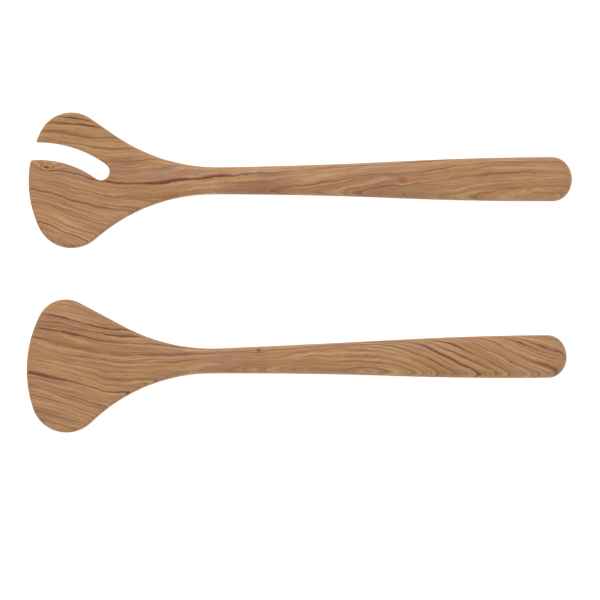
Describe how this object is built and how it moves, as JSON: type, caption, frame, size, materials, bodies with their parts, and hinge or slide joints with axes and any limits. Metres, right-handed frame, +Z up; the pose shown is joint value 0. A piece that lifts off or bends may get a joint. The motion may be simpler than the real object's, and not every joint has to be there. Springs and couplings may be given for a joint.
{
  "type": "salad servers",
  "caption": "Pair of carved wooden salad servers with flat rounded heads and long handles, one slotted and one solid, for tossing and lifting salad.",
  "frame": {"origin": "middle of the pair on the table plane that both servers lie on", "axes": "+X from the heads to the handle butts, +Y from the solid server to the slotted one, +Z up"},
  "size_m": [0.3312, 0.1946, 0.0176],
  "materials": {
    "slotted_olive_wood": "satin oiled olive wood",
    "solid_olive_wood": "satin oiled olive wood"
  },
  "bodies": {
    "solid_server": {"solid_server": "solid_olive_wood"},
    "slotted_server": {"slotted_server": "slotted_olive_wood"}
  },
  "joints": [
    {"name": "slotted_server_lift", "type": "slide", "parent": "solid_server", "child": "slotted_server", "axis": [0, 0, 1], "range_m": [0, 0.12]}
  ]
}
